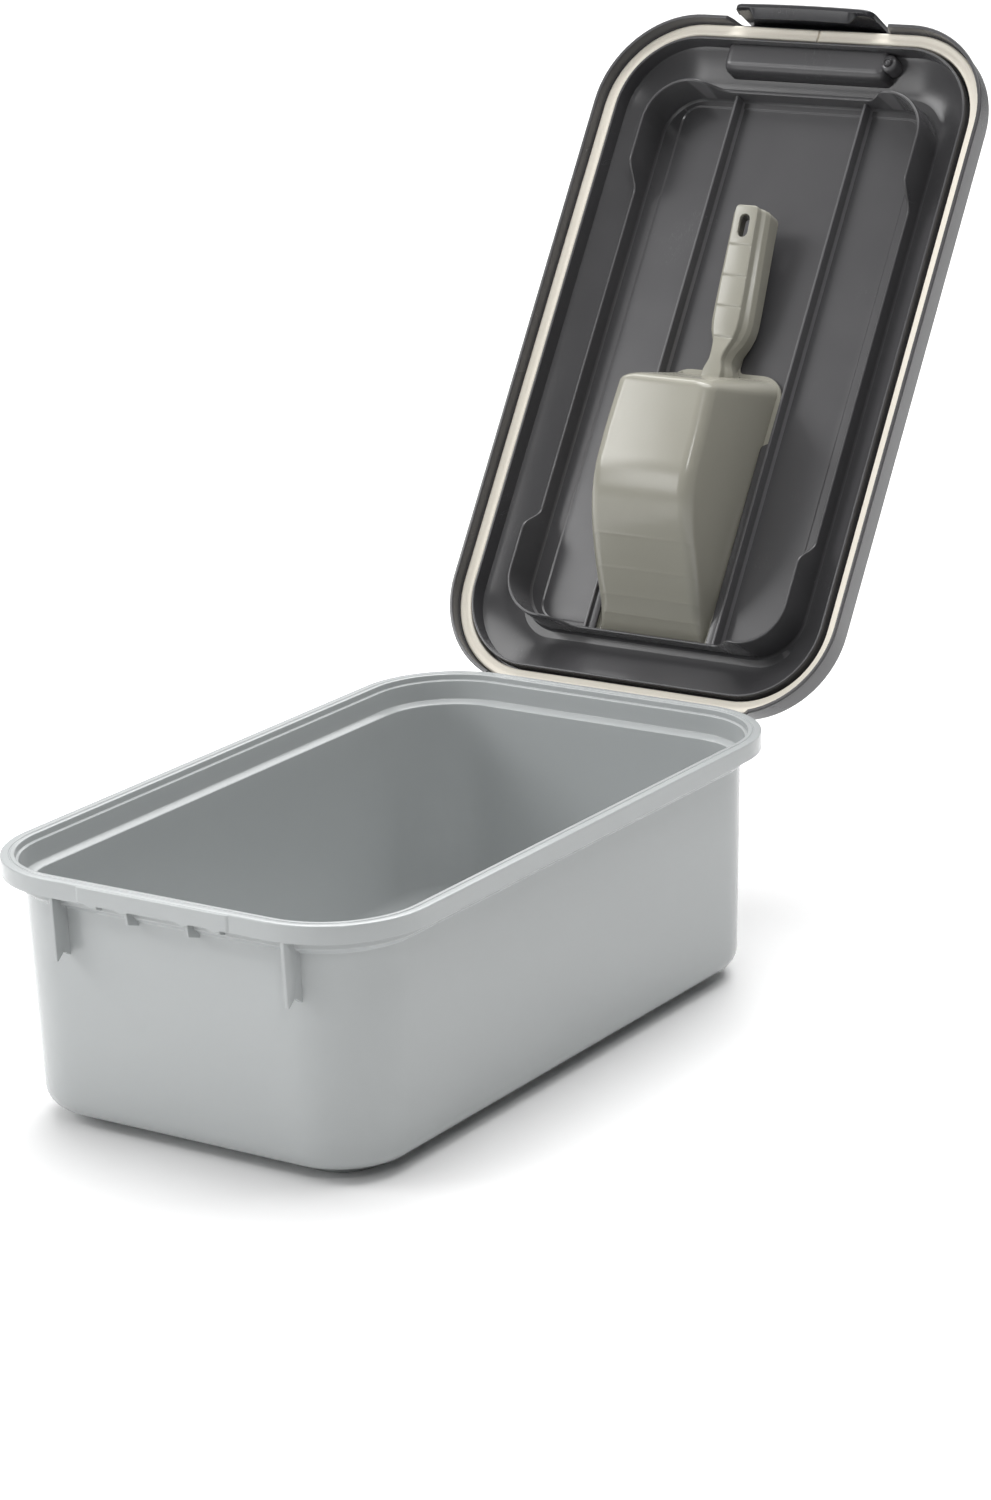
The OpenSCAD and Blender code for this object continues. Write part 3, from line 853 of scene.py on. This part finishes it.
def grip_hollow(first, last):
    """Stepped hollow between two of the handle's cross ribs, first and last from the bowl's heel."""
    w0 = grip_half(first) - 2.2
    w1 = min(grip_half(last), grip_half(last - 3) - 0.6) - 2.2
    plan = rounded([(-w0, first, 1.2), (w0, first, 1.2), (w1, last, 1.6), (-w1, last, 1.6)], 4)
    loops = [
        [(share * x, HEEL_Y - s, MOUTH - grip_heights(s)[0] + up) for x, s in plan]
        for share, up in ((0.52, 2.1), (0.56, 6.2), (1.0, 10.2))
    ]
    loops.append([(x, HEEL_Y - s, MOUTH + 3) for x, s in plan])
    return loft("hollow", loops)


def hanging_slot():
    """Cutter for the round-ended slot near the handle's end."""
    middle = GRIP_L - 12.5
    deep = grip_heights(middle)[0]
    slot = rounded([(-3.5, -7, 3.4), (3.5, -7, 3.4), (3.5, 7, 3.4), (-3.5, 7, 3.4)], 8)
    return loft("slot", [[(x, HEEL_Y - middle + y, MOUTH - deep + h) for x, y in slot] for h in (-3, 5)])


def scoop_grip():
    """Channel handle with cross ribs inside, marks across its face and a hanging slot."""
    loops = [grip_loop(s) for s in (-10, -8.5, -7, -5.5, -4, -2.5, -1, 0.5, 2, 3.5, 5, 7, 9, 11, 13, 15)]
    for mark in GRIP_MARKS:
        loops += [grip_loop(mark + k) for k in (-1.6, -0.7)]
        loops += [grip_loop(mark + k, mark=0.35) for k in (-0.25, 0.25)]
        loops += [grip_loop(mark + k) for k in (0.7, 1.6, 6, 11)]
    loops += [grip_loop(s) for s in (92.8, 93.4, 94.2, 95.0, 95.6)]
    loops += [grip_loop(s, inset) for s, inset in ((96.1, 0.05), (96.6, 0.3), (96.9, 0.8))]
    handle = loft("scoop_grip", loops)
    tools = [hanging_slot()]
    ribs = [NECK_L - 12, *GRIP_MARKS, GRIP_L - 1.4]
    tools += [grip_hollow(first + 0.8, last - 0.8) for first, last in zip(ribs, ribs[1:])]
    return cut(handle, *tools)


# ------------------------------------------------------------------ build the object
def build_tub():
    """Everything moulded with the tub."""
    shell = dress(tub_shell(), TUB_PLASTIC, "tub")
    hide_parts("tub")
    for piece in (foot_ring(), tub_fins(), tub_catch(), tub_hinges()):
        dress(piece, TUB_PLASTIC, "tub")


def build_lid():
    """Everything moulded with the lid, then its seal."""
    shell = dress(cut(lid_shell(), pocket_cutter()), LID_PLASTIC, "lid", opened=True)
    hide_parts("lid")
    for piece in (cut(pocket_trough(), pocket_cutter()), pin_boss(), frame_wall(), lid_ribs(), lid_clips()):
        dress(piece, LID_PLASTIC, "lid", opened=True)
    seal = dress(seal_band(), SEAL_RUBBER, "lid", opened=True)
    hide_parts("lid_seal")


def build_latch():
    """Latch, and the pin it turns on."""
    body = dress(latch_body(), LATCH_PLASTIC, "latch", opened=True)
    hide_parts("latch")
    pin = frame["nodes"]["latch_pin"]
    for index in range(len(pin.data.materials)):
        pin.data.materials[index] = LATCH_PLASTIC


def build_scoop():
    """Scoop in its rails."""
    bowl = dress(scoop_bowl(), SCOOP_PLASTIC, "scoop", opened=True)
    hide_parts("scoop")
    dress(scoop_grip(), SCOOP_PLASTIC, "scoop", opened=True)


# ------------------------------------------------------------------ stage, light and camera
def build_stage():
    """Pale floor that runs out of view."""
    half_side = 20
    bm = bmesh.new()
    bmesh.ops.create_grid(bm, x_segments=1, y_segments=1, size=half_side)
    mesh = bpy.data.meshes.new("floor")
    bm.to_mesh(mesh)
    bm.free()
    floor = bpy.data.objects.new("floor", mesh)
    floor.location.z = START[0].z
    SCENE.collection.objects.link(floor)
    material = bpy.data.materials.new("floor_paint")
    material.use_nodes = True
    tree = material.node_tree
    tree.nodes.clear()
    at = add(tree, "ShaderNodeTexCoord").outputs["Object"]
    rough = remap(tree, noise(tree, at, 6.0), 0.3, 0.7, 0.55, 0.7)
    shader = add(
        tree, "ShaderNodeBsdfPrincipled", {"Roughness": rough},
        **{"Base Color": (0.88, 0.88, 0.88, 1), "Specular IOR Level": 0.2},
    )
    add(tree, "ShaderNodeOutputMaterial", {"Surface": shader.outputs[0]})
    mesh.materials.append(material)


def softbox(name, place, aim, width, height, watts):
    """Rectangular soft light that faces the aim point."""
    data = bpy.data.lights.new(name, "AREA")
    data.shape = "RECTANGLE"
    data.size = width
    data.size_y = height
    data.energy = watts
    lamp = bpy.data.objects.new(name, data)
    lamp.location = place
    lamp.rotation_euler = (Vector(aim) - Vector(place)).to_track_quat("-Z", "Y").to_euler()
    SCENE.collection.objects.link(lamp)


def build_light():
    """Room that is dim at eye level, brighter overhead and darker at the right, with five softboxes."""
    world = bpy.data.worlds.new("room")
    world.use_nodes = True
    tree = world.node_tree
    tree.nodes.clear()
    at = add(tree, "ShaderNodeTexCoord").outputs["Generated"]
    split = add(tree, "ShaderNodeSeparateXYZ", {"Vector": at})
    level = remap(tree, split.outputs[2], 0.0, 0.85, 0.16, 0.66)
    flag = remap(tree, split.outputs[0], -0.2, 0.8, 1.0, 0.2)
    strength = calc(tree, "MULTIPLY", level, flag)
    sky = add(tree, "ShaderNodeBackground", {"Strength": strength}, Color=(1.0, 1.0, 1.0, 1.0))
    add(tree, "ShaderNodeOutputWorld", {"Surface": sky.outputs[0]})
    SCENE.world = world
    softbox("key", (-2.3, -1.5, 1.9), (0, 0.1, 0.2), 1.4, 1.2, 36)
    softbox("front", (-1.4, -2.2, 0.95), (0, 0.1, 0.3), 0.7, 0.9, 9)
    softbox("sparkle", (1.5, -1.6, 2.0), (0, 0.1, 0.3), 0.3, 0.3, 9)
    softbox("backdrop", (-2.0, 3.2, 2.9), (-2.0, 3.2, 0), 4.0, 4.0, 150)
    softbox("top", (0.2, 0.8, 3.2), (0, 0.2, 0.1), 3.0, 3.0, 118)
    SCENE.view_settings.view_transform = "Standard"


def build_camera():
    """Camera at the front right, looking down on the bin, at the photograph's viewing angle."""
    azimuth = math.radians(34.27)
    height = math.radians(16.86)
    roll = math.radians(-1.96)
    distance = 2436.79
    back = Vector((
        math.sin(azimuth) * math.cos(height), -math.cos(azimuth) * math.cos(height), math.sin(height)))
    right = Vector((math.cos(azimuth), math.sin(azimuth), 0))
    up = right.cross(-back)
    target = Vector((0, 0, -91.08)) + right * 55.62 + up * 245.01
    place = (target + back * distance) * MM
    right_rolled = right * math.cos(roll) + up * math.sin(roll)
    up_rolled = up * math.cos(roll) - right * math.sin(roll)
    data = bpy.data.cameras.new("camera")
    data.sensor_width = 36
    data.lens = 104.45
    data.clip_end = 100
    camera = bpy.data.objects.new("camera", data)
    turn = Matrix((right_rolled, up_rolled, back)).transposed().to_4x4()
    camera.matrix_world = Matrix.Translation(place) @ turn
    SCENE.collection.objects.link(camera)
    SCENE.camera = camera


build_tub()
build_lid()
build_latch()
build_scoop()
build_stage()
build_light()
build_camera()
